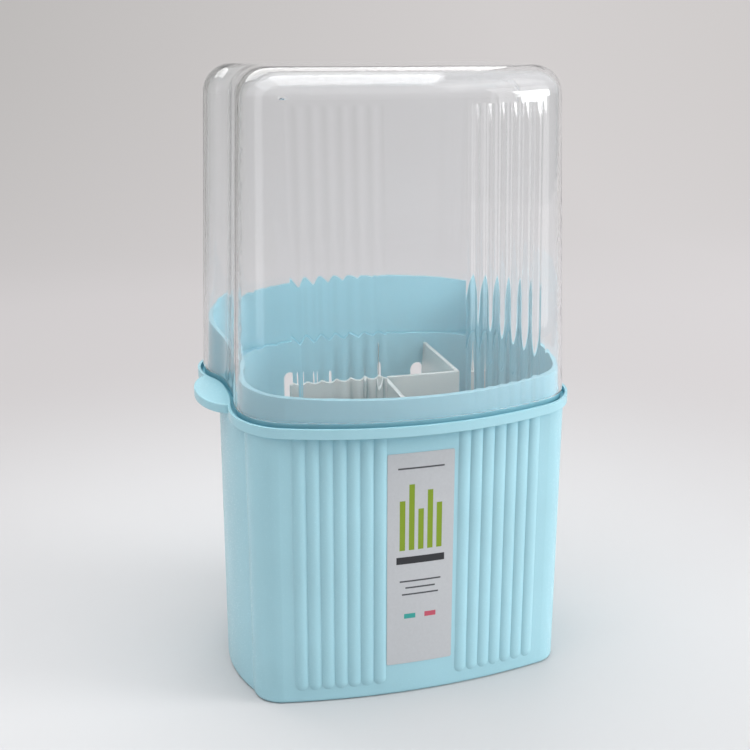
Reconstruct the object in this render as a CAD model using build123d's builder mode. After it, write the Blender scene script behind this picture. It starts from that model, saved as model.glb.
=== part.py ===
from build123d import *
from math import asin, atan, degrees, radians, sin, sqrt
import os

# Wall-hung chopstick holder with a clear dust lid that lifts off.
# X runs across the front, Y from front to back, Z up; millimetres.
# The origin is on the floor under the middle of the rim.

# overall sizes
total_height = 260.0        # floor to the top of the closed lid
rim_depth = 115.0           # front to back over the lip of the rim
rim_front_height = 122.2    # top of the lip at the front
rim_slope = 0.058           # the lip rises this much for each millimetre towards the back

# plan of the rim: bowed front, waisted sides, wider rear
rim_bow_radius = 165.0
rim_half_width = 73.8
rim_corner_radius = 26.0
rim_waist_half_width = 71.5
rim_rear_half_width = 77.4
rim_rear_corner_radius = 24.0
rim_rear_lobe_setback = 25.0    # the straight rear side starts this far before the back
waist_setback = 3.5             # the waist lies this far behind the middle
waist_length = 10.0

# rim: lip, channel and the seat of the lid
lip_height = 4.1
lip_thickness = 1.2
channel_depth = 2.6
seat_step = 1.0             # the seat stands this far inside the outer face of the lid
seat_height = 1.4

# collar that stands inside the lid
collar_clearance = 0.5
collar_wall = 2.0
collar_front_rise = 9.4     # top of the collar above the lip at the front
collar_slope = 0.181
collar_rear_height = 162.1
collar_arch_radius = 305.0
collar_sweep_start = 47.0   # the top edge sweeps up between these two places, from the back
collar_sweep_end = 22.0
collar_shoulder_height = 152.6
collar_shoulder_slope = 0.2
collar_shoulder_end = 12.5  # past the shoulder only the arch cuts the top edge
ledge_rise = 5.3            # inner ledge above the lip, in the middle
ledge_arch_radius = 500.0

# body
body_wall = 2.0
floor_thickness = 2.4
body_front_inset = 6.6
body_bow_radius = 273.4
body_half_width = 69.3
body_corner_radius = 13.5
body_waist_half_width = 66.4
body_rear_half_width = 69.4
body_rear_corner_radius = 27.0
body_rear_inset = 5.8
body_rear_lobe_setback = 35.0
body_draft = 0.6            # how much further in the outline is at the floor
bottom_edge_radius = 1.6
drain_slot_length = 16.0
drain_slot_width = 3.0
drain_pitch = 26.0
drain_rows = 3
drain_columns = 4

# side grips: shallow bulges under the finger tabs, hollow and open below
grip_reach = 73.6
grip_radius = 75.0
grip_position = 54.0
grip_half_length = 28.0
grip_wall = 2.0
tab_reach = 83.3
tab_root = 70.0
tab_overlap = 2.4           # the tab runs on this far inside the rim's edge
tab_half_length = 21.5
tab_position = 64.0
tab_thickness = 4.0
tab_edge_radius = 0.5
tab_blend_radius = 9.0      # between the tab and the rim, seen from above

# upright ribs on the front of the body and of the lid, in two groups
rib_count = 7
rib_pitch = 5.47
rib_first = 18.1            # from the middle to the first rib
body_rib_width = 5.3
body_rib_height = 0.8
body_rib_foot = 8.5
lid_rib_width = 3.2         # the hollows between the lid's ribs take the rest of the pitch
lid_rib_height = 0.31
lid_rib_top_gap = 14.0

# hanging slots in the back wall
slot_spacing = 63.0
slot_width = 6.6
slot_length = 14.0
slot_top_height = 118.0

# lid
lid_rim_inset = 2.2
lid_wall = 1.5
lid_top_wall = 1.8
lid_front_lean = 0.050
lid_side_lean = 0.036
lid_top_radius = 12.0
seat_clearance = 0.25
gate_mark_radius = 0.6      # small round recess that the moulding gate leaves in the top
gate_mark_depth = 0.3
gate_mark_x = -3.9

# divider
divider_wall = 1.8
divider_height = 128.0      # top edge above the floor
divider_cross_position = 53.0
divider_left = -44.0
divider_right = 32.5
divider_right_rake = 3.7    # the right wall leans outwards by this much at its far end
divider_front_x = -2.5
divider_front_rake = 2.5    # and so does the front wall at its near end
divider_clearance = 0.6
divider_plate = 2.0
divider_foot_height = 3.0
divider_foot_radius = 3.5
divider_foot_spacing_x = 104.0
divider_foot_spacing_y = 52.0

# sticker on the front
label_width = 28.9
label_height = 94.6
label_foot = 14.3
label_shift = -0.8          # stuck on slightly off the middle
label_thickness = 0.2
label_corner_radius = 0.8

# worked-out places
front = -rim_depth / 2
reach = 2 * rim_depth       # longer than the part, for shapes that cut
waist_start = waist_setback - waist_length / 2
waist_end = waist_setback + waist_length / 2
body_rib_radius = (body_rib_width**2 / 4 + body_rib_height**2) / (2 * body_rib_height)
lid_rib_radius = (lid_rib_width**2 / 4 + lid_rib_height**2) / (2 * lid_rib_height)
hollow_share = (rib_pitch - lid_rib_width) / lid_rib_width
seat_inset = lid_rim_inset + seat_step
collar_inset = lid_rim_inset + lid_wall + collar_clearance
collar_front_height = rim_front_height + collar_front_rise
lid_bottom_rise = seat_height + seat_clearance
rim_rear_height = rim_front_height + rim_slope * rim_depth
column_top = rim_rear_height + ledge_rise


def half_s_curve(start, shift, length):
    """Two equal arcs that move a line sideways by shift over length and keep its heading."""
    turn = 2 * degrees(atan(abs(shift) / length))
    radius = length / (2 * sin(radians(turn)))
    side = -1 if shift > 0 else 1
    first = JernArc(start, (0, 1), radius, side * turn)
    second = JernArc(first @ 1, first % 1, radius, -side * turn)
    return second @ 1


def outline(front_inset, bow, half, corner, waist, rear_half, rear_corner, rear_inset, lobe_setback):
    """Closed plan of the holder: bowed front, waisted sides and a flat back."""
    front_y = front + front_inset
    rear_y = -front - rear_inset
    corner_x = half - corner
    corner_y = front_y + bow - sqrt((bow - corner)**2 - corner_x**2)
    bow_angle = degrees(asin(corner_x / (bow - corner)))
    rear_corner_y = rear_y - rear_corner
    with BuildSketch(mode=Mode.PRIVATE) as plan:
        with BuildLine():
            bow_line = CenterArc((0, front_y + bow), bow, -90, bow_angle)
            corner_line = CenterArc((corner_x, corner_y), corner, bow_angle - 90, 90 - bow_angle)
            waist_in = half_s_curve(corner_line @ 1, waist - half, waist_start - corner_y)
            waist_line = Line(waist_in, (waist, waist_end))
            lobe = half_s_curve(waist_line @ 1, rear_half - waist, -front - lobe_setback - waist_end)
            Line(lobe, (rear_half, rear_corner_y))
            rear_arc = CenterArc((rear_half - rear_corner, rear_corner_y), rear_corner, 0, 90)
            Line(rear_arc @ 1, (0, rear_y))
            Line((0, rear_y), bow_line @ 0)
        make_face()
        mirror(about=Plane.YZ)
    return plan.sketch


def rim_plan(inset):
    """Plan of the rim, moved inwards by inset."""
    return outline(inset, rim_bow_radius - inset, rim_half_width - inset,
                   rim_corner_radius - inset, rim_waist_half_width - inset,
                   rim_rear_half_width - inset, rim_rear_corner_radius - inset, inset,
                   rim_rear_lobe_setback)


def body_plan(inset):
    """Plan of the body wall below the rim, moved inwards by inset."""
    return outline(body_front_inset + inset, body_bow_radius - inset, body_half_width - inset,
                   body_corner_radius - inset, body_waist_half_width - inset,
                   body_rear_half_width - inset, body_rear_corner_radius - inset,
                   body_rear_inset + inset, body_rear_lobe_setback)


def lid_plan(inset, rise):
    """Plan of the lid, moved inwards by inset, at a height of rise above the front of the lip."""
    side = lid_rim_inset + inset + lid_side_lean * rise
    front_side = lid_rim_inset + inset + lid_front_lean * rise
    return outline(front_side, rim_bow_radius - front_side, rim_half_width - side,
                   rim_corner_radius - side, rim_waist_half_width - side,
                   rim_rear_half_width - side, rim_rear_corner_radius - side, side,
                   rim_rear_lobe_setback)


def rim_band(low, high):
    """Side view of a layer that follows the slope of the rim, between two heights over the lip."""
    lift = rim_slope * reach
    middle = rim_front_height + rim_slope * rim_depth / 2
    with BuildSketch(Plane.YZ, mode=Mode.PRIVATE) as band:
        with BuildLine():
            Polyline((-reach, middle - lift + low), (reach, middle + lift + low),
                     (reach, middle + lift + high), (-reach, middle - lift + high), close=True)
        make_face()
    return band.sketch


def rim_layer(plan, low, high):
    """Solid with the given plan, between two heights over the lip of the rim."""
    with BuildPart(mode=Mode.PRIVATE) as layer:
        with BuildSketch(Plane.XY):
            add(plan)
        extrude(amount=total_height)
        extrude(rim_band(low, high), amount=reach, both=True, mode=Mode.INTERSECT)
    return layer.part


def bar(foot, top, radius):
    """Round bar between two points."""
    with BuildPart(mode=Mode.PRIVATE) as upright:
        with BuildSketch(Plane(origin=foot, z_dir=top - foot)):
            Circle(radius)
        extrude(amount=(top - foot).length)
    return upright.part


def behind_bow(x, bow, bow_centre, depth, height):
    """Point that lies depth behind the bowed face at x, square to the face."""
    share = (bow - depth) / bow
    return Vector(x * share, bow_centre - sqrt(bow**2 - x**2) * share, height)


# ---- shapes that the body is made from ----
with BuildPart() as column:
    with BuildSketch(Plane.XY):
        add(body_plan(body_draft))
    with BuildSketch(Plane.XY.offset(column_top)):
        add(body_plan(0))
    loft()
    fillet(column.edges().group_by(Axis.Z)[0], bottom_edge_radius)

rib_places = [rib_first + index * rib_pitch for index in range(rib_count)]
body_rib_top = rim_front_height - lip_height / 2
body_bow_centre = front + body_front_inset + body_bow_radius
body_rib_sink = body_rib_radius - body_rib_height
with BuildPart() as body_ribs:
    for rib_x in rib_places:
        rib_foot, rib_top = [
            behind_bow(rib_x, body_bow_radius - body_draft * (1 - height / column_top),
                       body_bow_centre, body_rib_sink, height)
            for height in (body_rib_foot, body_rib_top)]
        add(bar(rib_foot, rib_top, body_rib_radius))
        with Locations(rib_foot):
            Sphere(body_rib_radius)
    mirror(about=Plane.YZ)

grip_y = front + grip_position
grip_top = rim_front_height + rim_slope * grip_position - lip_height / 2
pocket_top = grip_top - lip_height / 2 - grip_wall
with BuildPart() as grips:
    with BuildSketch(Plane.XY):
        with Locations((grip_reach - grip_radius, grip_y)):
            Circle(grip_radius)
        with Locations((body_waist_half_width - body_wall / 2, grip_y)):
            Rectangle(reach, grip_half_length * 2, align=(Align.MIN, Align.CENTER),
                      mode=Mode.INTERSECT)
    extrude(amount=grip_top)
    fillet(grips.edges().group_by(Axis.Z)[0], bottom_edge_radius)
    mirror(about=Plane.YZ)

with BuildPart() as grip_pockets:
    with BuildSketch(Plane.XY):
        with Locations((grip_reach - grip_radius, grip_y)):
            Circle(grip_radius - grip_wall)
        with Locations((body_waist_half_width - body_wall / 2, grip_y)):
            Rectangle(reach, grip_half_length * 2, align=(Align.MIN, Align.CENTER),
                      mode=Mode.INTERSECT)
        add(body_plan(0), mode=Mode.SUBTRACT)
    extrude(amount=pocket_top)
    mirror(about=Plane.YZ)

tab_y = front + tab_position
with BuildPart() as tabs:
    with BuildSketch(Plane.XY) as tab_plan:
        with Locations((tab_root, tab_y)):
            Ellipse(tab_reach - tab_root, tab_half_length)
            Rectangle(tab_overlap * 2, (tab_half_length + tab_blend_radius) * 2)
        inner_corners = tab_plan.vertices().group_by(Axis.X)[-2].sort_by_distance((tab_root, tab_y))
        fillet(inner_corners[:2], tab_blend_radius)
        Rectangle((tab_root - tab_overlap / 2) * 2, reach, mode=Mode.SUBTRACT)
    extrude(amount=total_height)
    extrude(rim_band(-tab_thickness, 0), amount=reach, both=True, mode=Mode.INTERSECT)
    flat_faces = tabs.faces().sort_by(SortBy.AREA)[-2:]
    fillet(flat_faces.edges().filter_by_position(Axis.X, tab_root, reach), tab_edge_radius)
    mirror(about=Plane.YZ)

sweep_start_y = -front - collar_sweep_start
sweep_start_height = collar_front_height + collar_slope * (sweep_start_y - front)
shoulder_rise = collar_shoulder_slope * (collar_sweep_end - collar_shoulder_end)
with BuildPart() as collar:
    with BuildSketch(Plane.XY.offset(rim_front_height - channel_depth)):
        add(rim_plan(collar_inset - lid_side_lean * channel_depth))
    with BuildSketch(Plane.XY.offset(total_height)):
        add(rim_plan(collar_inset + lid_side_lean * (total_height - rim_front_height)))
    loft()
    with BuildSketch(Plane.YZ):
        with BuildLine():
            sweep = Spline((sweep_start_y, sweep_start_height),
                           (-front - collar_sweep_end, collar_shoulder_height),
                           tangents=[(1, collar_slope), (1, collar_shoulder_slope)])
            Polyline(sweep @ 1,
                     (-front - collar_shoulder_end, collar_shoulder_height + shoulder_rise),
                     (-front - collar_shoulder_end, total_height), (reach, total_height),
                     (reach, 0), (front, 0), (front, collar_front_height),
                     (sweep_start_y, sweep_start_height))
        make_face()
    extrude(amount=reach, both=True, mode=Mode.INTERSECT)
    with BuildSketch(Plane.XZ):
        with Locations((0, collar_rear_height - collar_arch_radius)):
            Circle(collar_arch_radius)
    extrude(amount=reach, both=True, mode=Mode.INTERSECT)

with BuildSketch() as collar_surround:
    Rectangle(reach, reach)
    add(rim_plan(collar_inset + collar_wall), mode=Mode.SUBTRACT)

with BuildPart() as low_room:
    with BuildSketch(Plane.XY.offset(floor_thickness)):
        add(body_plan(body_wall + body_draft))
    with BuildSketch(Plane.XY.offset(column_top)):
        add(body_plan(body_wall))
    loft()
    add(rim_layer(collar_surround.sketch, -lip_height, reach), mode=Mode.SUBTRACT)

ledge_middle = rim_front_height + rim_slope * rim_depth / 2 + ledge_rise
with BuildPart() as high_room:
    with BuildSketch(Plane.XY.offset(rim_front_height)):
        add(rim_plan(collar_inset + collar_wall))
    with BuildSketch(Plane.XY.offset(total_height)):
        add(rim_plan(collar_inset + collar_wall + lid_side_lean * (total_height - rim_front_height)))
    loft()
    with BuildSketch(Plane(origin=(0, 0, ledge_middle), x_dir=(1, 0, 0), z_dir=(0, -1, -rim_slope))):
        with Locations((0, -ledge_arch_radius)):
            Circle(ledge_arch_radius)
    extrude(amount=reach, both=True, mode=Mode.SUBTRACT)

# ---- body ----
slot_middle = slot_top_height - slot_length / 2
with BuildPart() as body:
    add(column)
    add(body_ribs)
    add(grips)
    extrude(rim_band(-reach, -lip_height / 2), amount=reach, both=True, mode=Mode.INTERSECT)
    add(rim_layer(rim_plan(0), -lip_height, 0))
    add(tabs)
    add(rim_layer(rim_plan(lip_thickness), -channel_depth, reach), mode=Mode.SUBTRACT)
    add(rim_layer(rim_plan(seat_inset), -lip_height, seat_height))
    add(collar)
    add(low_room, mode=Mode.SUBTRACT)
    add(high_room, mode=Mode.SUBTRACT)
    add(grip_pockets, mode=Mode.SUBTRACT)
    with BuildSketch(Plane(origin=(0, -front, slot_middle), x_dir=(1, 0, 0), z_dir=(0, -1, 0))):
        with GridLocations(slot_spacing, 0, 2, 1):
            SlotOverall(slot_length, slot_width, rotation=90)
    extrude(amount=rim_depth / 4, mode=Mode.SUBTRACT)
    with BuildSketch(Plane.XY):
        with GridLocations(drain_pitch, drain_pitch, drain_columns, drain_rows):
            SlotOverall(drain_slot_length, drain_slot_width, rotation=90)
    extrude(amount=floor_thickness, mode=Mode.SUBTRACT)
body.part.label = "body"

# ---- lid ----
lid_rise = total_height - rim_front_height
lid_bow_centre = front + rim_bow_radius
hollow_radius = lid_rib_radius * hollow_share
hollow_depth = lid_rib_height * hollow_share


def lid_bar(x, radius, depth):
    """Bar that follows the leaning front of the lid, its middle at depth behind the face."""
    ends = [behind_bow(x, rim_bow_radius - lid_rim_inset - lid_front_lean * rise,
                       lid_bow_centre, depth, rim_front_height + rise)
            for rise in (0, lid_rise - lid_rib_top_gap)]
    return bar(ends[0], ends[1], radius)


with BuildPart() as lid_ribs:
    for rib_x in rib_places:
        add(lid_bar(rib_x, lid_rib_radius, lid_rib_radius - lid_rib_height))
    mirror(about=Plane.YZ)

with BuildPart() as lid_hollows:
    for rib_x in rib_places[1:]:
        add(lid_bar(rib_x - rib_pitch / 2, hollow_radius, hollow_depth - hollow_radius))
    mirror(about=Plane.YZ)

with BuildPart() as lid_room:
    with BuildSketch(Plane.XY.offset(rim_front_height)):
        add(lid_plan(lid_wall, 0))
    with BuildSketch(Plane.XY.offset(total_height - lid_top_wall)):
        add(lid_plan(lid_wall, lid_rise - lid_top_wall))
    loft()
    fillet(lid_room.edges().group_by(Axis.Z)[-1], lid_top_radius - lid_wall)

with BuildPart() as lid:
    with BuildSketch(Plane.XY.offset(rim_front_height)):
        add(lid_plan(0, 0))
    with BuildSketch(Plane.XY.offset(total_height)):
        add(lid_plan(0, lid_rise))
    loft()
    fillet(lid.edges().group_by(Axis.Z)[-1], lid_top_radius)
    add(lid_ribs)
    add(lid_hollows, mode=Mode.SUBTRACT)
    add(lid_room, mode=Mode.SUBTRACT)
    extrude(rim_band(-reach, lid_bottom_rise), amount=reach, both=True, mode=Mode.SUBTRACT)
    with BuildSketch(Plane.XY.offset(total_height)):
        with Locations((gate_mark_x, 0)):
            Circle(gate_mark_radius)
    extrude(amount=-gate_mark_depth, mode=Mode.SUBTRACT)
lid.part.label = "lid"

# ---- divider: drip plate on feet with three upright walls ----
plate_foot = floor_thickness + divider_foot_height
cross_y = front + divider_cross_position
divider_inset = body_wall + body_draft + divider_clearance
collar_lean = lid_side_lean * collar_front_rise
with BuildSketch() as divider_plan:
    add(body_plan(divider_inset))
    add(rim_plan(collar_inset + collar_wall + collar_lean + divider_clearance),
        mode=Mode.INTERSECT)

front_wall = ((divider_front_x, cross_y), (divider_front_x - divider_front_rake, front))
right_wall = ((divider_right - divider_wall / 2, cross_y),
              (divider_right - divider_wall / 2 + divider_right_rake, -front))
with BuildPart() as divider:
    with BuildSketch(Plane.XY.offset(plate_foot)):
        add(divider_plan.sketch)
        with Locations((0, cross_y + drain_pitch / 2)):
            with GridLocations(drain_pitch, drain_pitch, drain_columns, drain_rows):
                SlotOverall(drain_slot_length, drain_slot_width, rotation=90, mode=Mode.SUBTRACT)
    extrude(amount=divider_plate)
    with BuildSketch(Plane.XY.offset(plate_foot)):
        with Locations((divider_left, cross_y)):
            Rectangle(divider_right - divider_left, divider_wall, align=(Align.MIN, Align.CENTER))
        for near, far in (front_wall, right_wall):
            with BuildLine():
                Line(near, far)
            trace(line_width=divider_wall)
        add(divider_plan.sketch, mode=Mode.INTERSECT)
    extrude(amount=divider_height - plate_foot)
    with BuildSketch(Plane.XY.offset(floor_thickness)):
        with GridLocations(divider_foot_spacing_x, divider_foot_spacing_y, 2, 2):
            Circle(divider_foot_radius)
    extrude(amount=divider_foot_height)
divider.part.label = "divider"

# ---- sticker: a thin sheet on the bowed face between the ribs ----
with BuildPart() as label:
    with BuildSketch(Plane.XY):
        add(body_plan(body_draft - label_thickness))
    with BuildSketch(Plane.XY.offset(column_top)):
        add(body_plan(-label_thickness))
    loft()
    with BuildSketch(Plane.XZ.offset(-front)):
        with Locations((label_shift, label_foot + label_height / 2)):
            RectangleRounded(label_width, label_height, label_corner_radius)
    extrude(amount=-rim_depth / 4, mode=Mode.INTERSECT)
    add(column, mode=Mode.SUBTRACT)
label.part.label = "label"

os.makedirs("parts", exist_ok=True)
export_step(body.part, "parts/body.step")
export_step(lid.part, "parts/lid.step")
export_step(divider.part, "parts/divider.step")
export_step(label.part, "parts/label.step")
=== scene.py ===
import math

import bmesh
import bpy
from bpy.props import FloatProperty, FloatVectorProperty, PointerProperty
from mathutils import Euler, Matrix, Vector

bl_info = {
    "name": "Chopstick holder with lift-off lid",
    "version": (1, 0, 0),
    "blender": (4, 5, 0),
    "location": "View3D > Sidebar > Chopstick Holder",
    "description": "Finishes a ribbed chopstick holder with a clear dust lid, divider and sticker",
    "category": "Object",
}

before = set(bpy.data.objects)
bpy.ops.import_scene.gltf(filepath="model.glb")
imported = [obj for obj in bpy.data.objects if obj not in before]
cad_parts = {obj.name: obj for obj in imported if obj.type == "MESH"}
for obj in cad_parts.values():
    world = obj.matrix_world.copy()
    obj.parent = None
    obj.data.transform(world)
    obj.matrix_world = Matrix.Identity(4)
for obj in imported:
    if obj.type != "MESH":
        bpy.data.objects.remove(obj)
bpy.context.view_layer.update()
MM = 0.001

# ---------------------------------------------------------------- sizes and tones
# sockets of a Mix node, by number because its float and colour sockets share their names
FACTOR, FLOAT_A, FLOAT_B, COLOUR_A, COLOUR_B = 0, 2, 3, 6, 7
FLOAT_RESULT, COLOUR_RESULT = 0, 2

# most of a noise texture's values lie between these two
NOISE_LOW, NOISE_HIGH = 0.3, 0.7

# moulded polypropylene: size of its clouds and pits, how far painted shade reaches into grooves
# and corners and its tint, how round its edges are and how deep light sinks in
CLOUD_SIZE = 45 * MM
CLOUD_SHADE = 0.94
PIT_SIZE = 0.5 * MM
PIT_DEPTH = 0.02 * MM
PAINTED_SHADE_REACH = 12 * MM
PAINTED_SHADE_TINT = "#AED4DB"
EDGE_RADIUS = 0.3 * MM
SINK_DEPTH = 3 * MM
ROUGHNESS_SPREAD = 0.015
POLYPROPYLENE_IOR = 1.49

# clear polystyrene: size and depth of its unevenness, and what lamps leave of their light
UNEVEN_SIZE = 14 * MM
UNEVEN_DEPTH = 0.05 * MM
POLISH_SPREAD = 0.02
POLYSTYRENE_IOR = 1.57
PASSED_LIGHT = "#D9DDDF"

# the sticker: paper fibres, and the middle and foot that its marks are measured from
FIBRE_SIZE = 1.2 * MM
FIBRE_DEPTH = 0.02 * MM
FIBRE_TONE = "#C2C4C7"
FILM_IOR = 1.5
STICKER_MIDDLE = -0.8
STICKER_FOOT = 14.3
# plain marks: middle x, middle height, width and height in mm, and colour
BARS = tuple((x, 52 + tall / 2, 2.4, tall, "#86A01F")
             for x, tall in ((-8, 22), (-4, 29), (0, 18), (4, 26), (8, 20)))
RULES = tuple((x, height, wide, 0.7, "#4A4C50")
              for x, height, wide in ((0, 88, 20), (0, 38, 18), (0, 35, 13), (0, 32, 16)))
BLOCKS = ((0, 47.5, 21, 3.2, "#2B2C30"), (-4.5, 22, 5, 2.2, "#35A29A"),
          (4.5, 22, 5, 2.2, "#C65468"))

# the camera: where it stands, and how many degrees it looks down and to the right
CAMERA_PLACE = (-0.15323, -0.48451, 0.27131)
CAMERA_DOWN = 15.812
CAMERA_RIGHT = 17.002
SENSOR_WIDTH = 36.0
CLIP_START = 0.01

# the sweep of paper, in metres: half its width, where its floor starts to curve up, and the
# radius of the curve and height of the upright part
SWEEP_HALF = 3.0
CURVE_START = 1.0
CURVE_RADIUS = 0.6
CURVE_STEPS = 24
BACKDROP_HEIGHT = 3.0
SAME_HEIGHT = 1e-6

# the paper's own colour, and the tones on the left and right of its even light
PAPER = "#C9C9CA"
NEAR_TONES = ("#C6C2C2", "#DFDBDC")
FAR_TONES = ("#989792", "#D6D2D1")
# where each blend of the even light starts and ends, in metres: across from left to right,
# from near to far, outwards from the object, and backwards from the front
ACROSS = (-0.9, 0.7)
NEAR_TO_FAR = (0.8, 1.9)
OUTWARDS = (0.1, 0.55)
BACKWARDS = (-0.6, 0.0)
EVEN_SHARE = 0.9

# the world's strength in gloss and through the lid: level and well above
SKY_HEIGHTS = (0.0, 0.5)
SKY_STRENGTHS = (0.3, 1.0)
SKY_TINT = "#FAFCFF"

# lamps: name, place, target, width and depth in metres, power setting and share of it
LAMPS = (
    ("key", (1.2, -0.58, 0.5), (0, 0, 0.12), 0.5, 0.5, "key", 1),
    ("top", (0, -0.1, 1.2), (0, 0, 0), 0.8, 0.8, "top", 1),
    ("patch", (0.9, -0.62, 1.2), (0, 0, 0.2), 1.0, 0.4, "patch", 1),
    ("right", (0.8, -0.5, 0.32), (0, 0, 0.1), 0.45, 0.7, "strip", 1),
    ("left", (-0.85, -0.2, 0.32), (0, 0, 0.1), 0.3, 0.7, "strip", 1 / 3),
    ("softbox", (-0.3, -0.12, 0.8), (-0.3, -0.05, 0), 1.1, 0.55, "softbox", 1),
    ("rear", (-0.1, 0.6, 0.9), (-0.1, 0, 0.1), 1.2, 0.5, "rear", 1),
)
# these model the box and aren't mirrored in the lid
UNMIRRORED_LAMPS = ("key", "top")
# these neither show through the lid nor light what is seen through it
OUTSIDE_LAMPS = ("rear", "right")


# ---------------------------------------------------------------- colours and nodes
def linear(hex_colour):
    """The linear RGBA of an sRGB hex colour."""
    channels = [int(hex_colour[i:i + 2], 16) / 255 for i in (1, 3, 5)]
    return tuple(c / 12.92 if c <= 0.04045 else ((c + 0.055) / 1.055) ** 2.4
                 for c in channels) + (1.0,)


def add_node(tree, kind, settings=None, links=None):
    """Adds a node, sets its properties and unlinked inputs, and links the others."""
    node = tree.nodes.new(kind)
    inputs = {}
    for key, value in (settings or {}).items():
        if isinstance(key, str) and hasattr(node, key):
            setattr(node, key, value)
        else:
            inputs[key] = value
    for key, value in inputs.items():
        node.inputs[key].default_value = value
    for key, socket in (links or {}).items():
        tree.links.new(socket, node.inputs[key])
    return node


def new_material(name):
    """An empty node material, its node tree and its output node."""
    material = bpy.data.materials.new(name)
    material.use_nodes = True
    material.node_tree.nodes.clear()
    output = add_node(material.node_tree, "ShaderNodeOutputMaterial")
    return material, material.node_tree, output


def between(tree, socket, span, to=(0.0, 1.0), interpolation="LINEAR"):
    """A value brought from one span to another, and kept inside it."""
    node = add_node(tree, "ShaderNodeMapRange",
                    {"interpolation_type": interpolation, "From Min": span[0],
                     "From Max": span[1], "To Min": to[0], "To Max": to[1]},
                    {"Value": socket})
    return node.outputs["Result"]


def combine(tree, operation, first, second):
    """Two sockets taken together by a math operation."""
    node = add_node(tree, "ShaderNodeMath", {"operation": operation}, {0: first, 1: second})
    return node.outputs["Value"]


def looked_at(tree):
    """1 for the rays that the eye follows, straight, in gloss or through the lid, and 0 for
    the rays that light a matt surface."""
    path = add_node(tree, "ShaderNodeLightPath")
    gloss = combine(tree, "MAXIMUM", path.outputs["Is Glossy Ray"],
                    path.outputs["Is Transmission Ray"])
    seen = combine(tree, "MAXIMUM", gloss, path.outputs["Is Camera Ray"])
    direct = add_node(tree, "ShaderNodeMath", {"operation": "LESS_THAN", 1: 0.5},
                      {0: path.outputs["Diffuse Depth"]})
    return combine(tree, "MULTIPLY", seen, direct.outputs["Value"])


def dress(node_name, material):
    """Gives a CAD node one material on all its slots."""
    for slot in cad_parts[node_name].material_slots:
        slot.material = material


# ---------------------------------------------------------------- materials
def moulded_polypropylene(name, colour, roughness):
    """Injection-moulded polypropylene: satin skin from a spark-eroded mould, soft edges,
    a faint cloudiness where the melt flowed, light that sinks in a little, and painted shade
    that darkens its colour in grooves and corners."""
    material, tree, output = new_material(name)
    place = add_node(tree, "ShaderNodeTexCoord")
    flow = add_node(tree, "ShaderNodeTexNoise",
                    {"Scale": 1 / CLOUD_SIZE, "Detail": 2.0, "Roughness": 0.5},
                    {"Vector": place.outputs["Object"]})
    clouds = between(tree, flow.outputs["Fac"], (NOISE_LOW, NOISE_HIGH))
    shade = tuple(channel * CLOUD_SHADE for channel in colour[:3]) + (1.0,)
    tint = add_node(tree, "ShaderNodeMix",
                    {"data_type": "RGBA", COLOUR_A: shade, COLOUR_B: tuple(colour)},
                    {FACTOR: clouds}).outputs[COLOUR_RESULT]
    # spark erosion leaves pits of about 0.1 mm: drawn larger, so that they show
    pits = add_node(tree, "ShaderNodeTexNoise",
                    {"Scale": 1 / PIT_SIZE, "Detail": 1.0, "Roughness": 0.5},
                    {"Vector": place.outputs["Object"]})
    satin = between(tree, pits.outputs["Fac"], (NOISE_LOW, NOISE_HIGH),
                    (roughness - ROUGHNESS_SPREAD, roughness + ROUGHNESS_SPREAD))
    # painted shade: grooves and corners, where ambient occlusion finds close walls, get a darker
    # colour
    occlusion = add_node(tree, "ShaderNodeAmbientOcclusion",
                    {"samples": 8, "only_local": True, "Distance": PAINTED_SHADE_REACH})
    unshaded_share = between(tree, occlusion.outputs["AO"], (0.3, 0.85))
    # the colour with the painted shade tint multiplied in, used in grooves and corners
    deep = add_node(tree, "ShaderNodeMix",
                    {"data_type": "RGBA", "blend_type": "MULTIPLY", FACTOR: 1.0,
                     COLOUR_B: linear(PAINTED_SHADE_TINT)},
                    {COLOUR_A: tint}).outputs[COLOUR_RESULT]
    skin_colour_with_painted_shade = add_node(tree, "ShaderNodeMix", {"data_type": "RGBA"},
                           {FACTOR: unshaded_share, COLOUR_A: deep, COLOUR_B: tint})
    edges = add_node(tree, "ShaderNodeBevel", {"samples": 6, "Radius": EDGE_RADIUS})
    skin = add_node(tree, "ShaderNodeBump", {"Strength": 0.03, "Distance": PIT_DEPTH},
                    {"Height": pits.outputs["Fac"], "Normal": edges.outputs["Normal"]})
    shader = add_node(tree, "ShaderNodeBsdfPrincipled",
                      {"IOR": POLYPROPYLENE_IOR, "Subsurface Weight": 0.06,
                       "Subsurface Scale": SINK_DEPTH, "Subsurface Radius": (0.7, 1.0, 1.0)},
                      {"Base Color": skin_colour_with_painted_shade.outputs[COLOUR_RESULT], "Roughness": satin,
                       "Normal": skin.outputs["Normal"]})
    tree.links.new(shader.outputs["BSDF"], output.inputs["Surface"])
    return material


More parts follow.
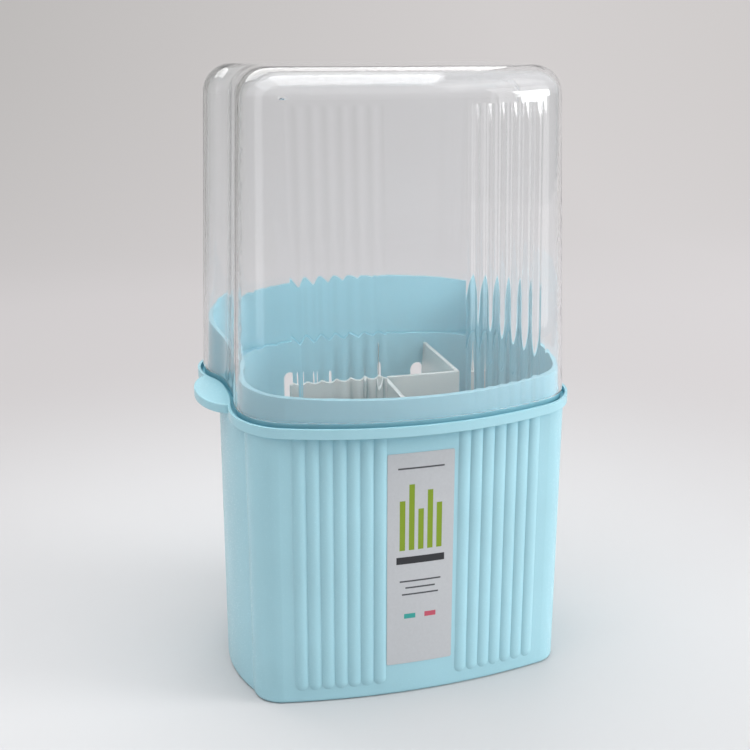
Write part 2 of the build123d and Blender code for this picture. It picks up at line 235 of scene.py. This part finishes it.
def clear_polystyrene(name, colour, roughness):
    """Moulded clear polystyrene: polished both sides, it bends what is seen through its ribs,
    and the fill of the mould leaves it slightly uneven. Shadow rays go straight through, so
    that it throws no dark shadow."""
    material, tree, output = new_material(name)
    place = add_node(tree, "ShaderNodeTexCoord")
    fill = add_node(tree, "ShaderNodeTexNoise", {"Scale": 1 / UNEVEN_SIZE, "Detail": 1.0},
                    {"Vector": place.outputs["Object"]})
    polish = between(tree, fill.outputs["Fac"], (NOISE_LOW, NOISE_HIGH),
                     (roughness, roughness + POLISH_SPREAD))
    ripple = add_node(tree, "ShaderNodeBump", {"Strength": 0.06, "Distance": UNEVEN_DEPTH},
                      {"Height": fill.outputs["Fac"]})
    shader = add_node(tree, "ShaderNodeBsdfPrincipled",
                      {"Base Color": linear(colour), "IOR": POLYSTYRENE_IOR,
                       "Transmission Weight": 0.98, "Sheen Weight": 0.08,
                       "Sheen Roughness": 0.4},
                      {"Roughness": polish, "Normal": ripple.outputs["Normal"]})
    clear = add_node(tree, "ShaderNodeBsdfTransparent", {"Color": linear(PASSED_LIGHT)})
    path = add_node(tree, "ShaderNodeLightPath")
    mix = add_node(tree, "ShaderNodeMixShader", {},
                   {0: path.outputs["Is Shadow Ray"], 1: shader.outputs["BSDF"],
                    2: clear.outputs["BSDF"]})
    tree.links.new(mix.outputs["Shader"], output.inputs["Surface"])
    return material


def printed_film(name, colour):
    """Matt laminated paper sticker: fine paper fibre under the film, and flat printed marks
    whose ink is too thin to stand out."""
    material, tree, output = new_material(name)
    place = add_node(tree, "ShaderNodeTexCoord")
    axes = add_node(tree, "ShaderNodeSeparateXYZ", {}, {"Vector": place.outputs["Object"]})
    fibre = add_node(tree, "ShaderNodeTexNoise", {"Scale": 1 / FIBRE_SIZE, "Detail": 3.0},
                     {"Vector": place.outputs["Object"]})
    ink = add_node(tree, "ShaderNodeMix",
                   {"data_type": "RGBA", COLOUR_A: linear(FIBRE_TONE),
                    COLOUR_B: linear(colour)},
                   {FACTOR: fibre.outputs["Fac"]}).outputs[COLOUR_RESULT]
    for x, height, wide, tall, ink_colour in BARS + RULES + BLOCKS:
        across, upright = (
            add_node(tree, "ShaderNodeMath",
                     {"operation": "COMPARE", 1: middle * MM, 2: length / 2 * MM},
                     {0: axes.outputs[axis]}).outputs["Value"]
            for axis, middle, length in (("X", x + STICKER_MIDDLE, wide),
                                         ("Z", height + STICKER_FOOT, tall)))
        inside = combine(tree, "MULTIPLY", across, upright)
        ink = add_node(tree, "ShaderNodeMix",
                       {"data_type": "RGBA", COLOUR_B: linear(ink_colour)},
                       {FACTOR: inside, COLOUR_A: ink}).outputs[COLOUR_RESULT]
    skin = add_node(tree, "ShaderNodeBump", {"Strength": 0.1, "Distance": FIBRE_DEPTH},
                    {"Height": fibre.outputs["Fac"]})
    shader = add_node(tree, "ShaderNodeBsdfPrincipled", {"Roughness": 0.45, "IOR": FILM_IOR},
                      {"Base Color": ink, "Normal": skin.outputs["Normal"]})
    tree.links.new(shader.outputs["BSDF"], output.inputs["Surface"])
    return material


def studio_paper():
    """Matt paper. Away from the object its look is evenly lit, darker on the left and far
    behind: a glow that only the rays that the eye follows meet."""
    material, tree, output = new_material("matt_studio_paper")
    paper = add_node(tree, "ShaderNodeBsdfPrincipled",
                     {"Base Color": linear(PAPER), "Roughness": 0.9,
                      "Specular IOR Level": 0.1})
    place = add_node(tree, "ShaderNodeTexCoord")
    axes = add_node(tree, "ShaderNodeSeparateXYZ", {}, {"Vector": place.outputs["Object"]})
    away = add_node(tree, "ShaderNodeVectorMath", {"operation": "LENGTH"},
                    {0: place.outputs["Object"]})
    across = between(tree, axes.outputs["X"], ACROSS)
    behind = between(tree, away.outputs["Value"], NEAR_TO_FAR)
    near_tone, far_tone = (
        add_node(tree, "ShaderNodeMix",
                 {"data_type": "RGBA", COLOUR_A: linear(left), COLOUR_B: linear(right)},
                 {FACTOR: across}).outputs[COLOUR_RESULT]
        for left, right in (NEAR_TONES, FAR_TONES))
    tone = add_node(tree, "ShaderNodeMix", {"data_type": "RGBA"},
                    {FACTOR: behind, COLOUR_A: near_tone, COLOUR_B: far_tone})
    glow = add_node(tree, "ShaderNodeEmission", {"Strength": 1.0},
                    {"Color": tone.outputs[COLOUR_RESULT]})
    far = between(tree, away.outputs["Value"], OUTWARDS, (0.0, EVEN_SHARE), "SMOOTHSTEP")
    aside = add_node(tree, "ShaderNodeMath", {"operation": "ABSOLUTE"},
                     {0: axes.outputs["X"]})
    round_front = combine(tree, "ADD", aside.outputs["Value"], axes.outputs["Y"])
    even = combine(tree, "MULTIPLY", far, between(tree, round_front, BACKWARDS))
    share = combine(tree, "MULTIPLY", even, looked_at(tree))
    mix = add_node(tree, "ShaderNodeMixShader", {},
                   {0: share, 1: paper.outputs["BSDF"], 2: glow.outputs["Emission"]})
    tree.links.new(mix.outputs["Shader"], output.inputs["Surface"])
    return material


# ---------------------------------------------------------------- stage
def add_camera(scene, lens):
    """The camera, in front of the object on its left."""
    data = bpy.data.cameras.new("camera")
    data.sensor_width = SENSOR_WIDTH
    data.lens = lens
    data.clip_start = CLIP_START
    camera = bpy.data.objects.new("camera", data)
    camera.location = CAMERA_PLACE
    camera.rotation_euler = Euler((math.radians(90 - CAMERA_DOWN), 0.0,
                                   math.radians(-CAMERA_RIGHT)))
    scene.collection.objects.link(camera)
    scene.camera = camera


def add_sweep(scene):
    """One sweep of paper: floor, curve and backdrop."""
    mesh = bpy.data.meshes.new("sweep")
    form = bmesh.new()
    bmesh.ops.create_grid(form, x_segments=1, y_segments=1, size=SWEEP_HALF)
    back = [e for e in form.edges if all(v.co.y > 0 for v in e.verts)]
    bmesh.ops.translate(form, verts=list({v for e in back for v in e.verts}),
                        vec=(0, CURVE_START - SWEEP_HALF, 0))
    bmesh.ops.spin(form, geom=back, cent=(0, CURVE_START, CURVE_RADIUS), axis=(1, 0, 0),
                   angle=math.radians(90), steps=CURVE_STEPS, use_merge=False)
    form.normal_update()
    top = max(v.co.z for v in form.verts)
    edge = [e for e in form.edges if all(abs(v.co.z - top) < SAME_HEIGHT for v in e.verts)]
    raised = bmesh.ops.extrude_edge_only(form, edges=edge)
    bmesh.ops.translate(form, verts=[g for g in raised["geom"]
                                     if isinstance(g, bmesh.types.BMVert)],
                        vec=(0, 0, BACKDROP_HEIGHT))
    bmesh.ops.recalc_face_normals(form, faces=form.faces)
    for face in form.faces:
        face.smooth = True
    form.to_mesh(mesh)
    form.free()
    sweep = bpy.data.objects.new("sweep", mesh)
    scene.collection.objects.link(sweep)
    mesh.materials.append(studio_paper())


def light_the_world(scene, fill):
    """Light from all round, brighter where gloss or the clear lid looks at it."""
    world = bpy.data.worlds.new("studio")
    world.use_nodes = True
    tree = world.node_tree
    place = add_node(tree, "ShaderNodeTexCoord")
    axes = add_node(tree, "ShaderNodeSeparateXYZ", {}, {"Vector": place.outputs["Generated"]})
    sky = between(tree, axes.outputs["Z"], SKY_HEIGHTS, SKY_STRENGTHS)
    strength = add_node(tree, "ShaderNodeMix", {FLOAT_A: fill},
                        {FACTOR: looked_at(tree), FLOAT_B: sky})
    background = tree.nodes["Background"]
    background.inputs["Color"].default_value = linear(SKY_TINT)
    tree.links.new(strength.outputs[FLOAT_RESULT], background.inputs["Strength"])
    scene.world = world


def add_lamps(scene, settings):
    """The studio's lamps, each a plain rectangle aimed at its target."""
    for name, place, target, wide, deep, power, share in LAMPS:
        data = bpy.data.lights.new(name, "AREA")
        data.energy = getattr(settings, power) * share
        data.shape = "RECTANGLE"
        data.size = wide
        data.size_y = deep
        lamp = bpy.data.objects.new(name, data)
        lamp.visible_glossy = name not in UNMIRRORED_LAMPS
        lamp.visible_transmission = name not in OUTSIDE_LAMPS
        lamp.location = place
        aim = Vector(target) - Vector(place)
        lamp.rotation_euler = aim.to_track_quat("-Z", "Y").to_euler()
        scene.collection.objects.link(lamp)


# ---------------------------------------------------------------- settings
class HolderSettings(bpy.types.PropertyGroup):
    """Colours and finishes of the holder."""

    body_colour: FloatVectorProperty(
        name="Body colour", description="Colour of the moulded box", subtype="COLOR",
        size=4, min=0, max=1, default=linear("#AEDDE9"))
    divider_colour: FloatVectorProperty(
        name="Divider colour", description="Colour of the loose divider", subtype="COLOR",
        size=4, min=0, max=1, default=linear("#DAD9D4"))
    roughness: FloatProperty(
        name="Roughness", description="Roughness of the satin moulded skin", subtype="FACTOR",
        default=0.26, min=0, max=1)


class StageSettings(bpy.types.PropertyGroup):
    """Camera and lights."""

    lens: FloatProperty(name="Lens", description="Focal length in millimetres",
                        subtype="DISTANCE_CAMERA", default=57.62, min=10)
    softbox: FloatProperty(name="Softbox", description="Power of the lamp overhead",
                           unit="POWER", default=3.2, min=0)
    rear: FloatProperty(name="Rear", description="Power of the lamp above and behind",
                        unit="POWER", default=5.2, min=0)
    key: FloatProperty(name="Key", description="Power of the lamp at the front right",
                       unit="POWER", default=9.5, min=0)
    top: FloatProperty(name="Top", description="Power of the lamp high over the middle",
                       unit="POWER", default=5.0, min=0)
    patch: FloatProperty(name="Patch", description="Power of the high lamp on the right",
                         unit="POWER", default=1.2, min=0)
    strip: FloatProperty(name="Strips", description="Power of the right side lamp; the left "
                         "one has a third of it", unit="POWER", default=1.5, min=0)
    fill: FloatProperty(name="Fill", description="Strength of the light from all round",
                        default=0.34, min=0)


# ---------------------------------------------------------------- operators
class HOLDER_OT_stage(bpy.types.Operator):
    """Set the floor, the lamps and the camera"""

    bl_idname = "holder.stage"
    bl_label = "Stage"

    def execute(self, context):
        scene = context.scene
        add_camera(scene, scene.holder_stage.lens)
        add_sweep(scene)
        light_the_world(scene, scene.holder_stage.fill)
        add_lamps(scene, scene.holder_stage)
        scene.view_settings.view_transform = "Standard"
        return {"FINISHED"}


class HOLDER_OT_body(bpy.types.Operator):
    """Finish the moulded box"""

    bl_idname = "holder.body"
    bl_label = "Body"

    def execute(self, context):
        settings = context.scene.holder
        dress("body", moulded_polypropylene("satin_moulded_polypropylene",
                                            settings.body_colour, settings.roughness))
        return {"FINISHED"}


class HOLDER_OT_lid(bpy.types.Operator):
    """Finish the clear lid"""

    bl_idname = "holder.lid"
    bl_label = "Lid"

    def execute(self, context):
        dress("lid", clear_polystyrene("clear_moulded_polystyrene", "#FDFEFF", 0.02))
        return {"FINISHED"}


class HOLDER_OT_divider(bpy.types.Operator):
    """Finish the divider"""

    bl_idname = "holder.divider"
    bl_label = "Divider"

    def execute(self, context):
        settings = context.scene.holder
        dress("divider", moulded_polypropylene("off_white_moulded_polypropylene",
                                               settings.divider_colour, settings.roughness))
        return {"FINISHED"}


class HOLDER_OT_label(bpy.types.Operator):
    """Finish the sticker"""

    bl_idname = "holder.label"
    bl_label = "Sticker"

    def execute(self, context):
        dress("label", printed_film("matt_sticker_film", "#CCCED1"))
        return {"FINISHED"}


class HOLDER_PT_panel(bpy.types.Panel):
    """Settings and buttons for the holder's pieces"""

    bl_idname = "HOLDER_PT_panel"
    bl_label = "Chopstick Holder"
    bl_space_type = "VIEW_3D"
    bl_region_type = "UI"
    bl_category = "Chopstick Holder"

    def draw(self, context):
        layout = self.layout
        for setting in ("body_colour", "divider_colour", "roughness"):
            layout.prop(context.scene.holder, setting)
        for setting in ("lens", "softbox", "rear", "key", "top", "patch", "strip", "fill"):
            layout.prop(context.scene.holder_stage, setting)
        for operator in OPERATORS:
            layout.operator(operator.bl_idname)


OPERATORS = (HOLDER_OT_stage, HOLDER_OT_body, HOLDER_OT_lid, HOLDER_OT_divider, HOLDER_OT_label)
CLASSES = (HolderSettings, StageSettings, *OPERATORS, HOLDER_PT_panel)


def register():
    for cls in CLASSES:
        bpy.utils.register_class(cls)
    bpy.types.Scene.holder = PointerProperty(type=HolderSettings)
    bpy.types.Scene.holder_stage = PointerProperty(type=StageSettings)


def unregister():
    del bpy.types.Scene.holder_stage
    del bpy.types.Scene.holder
    for cls in reversed(CLASSES):
        bpy.utils.unregister_class(cls)


def main():
    """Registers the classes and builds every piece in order."""
    register()
    bpy.ops.holder.stage()
    bpy.ops.holder.body()
    bpy.ops.holder.lid()
    bpy.ops.holder.divider()
    bpy.ops.holder.label()


if __name__ == "__main__":
    main()
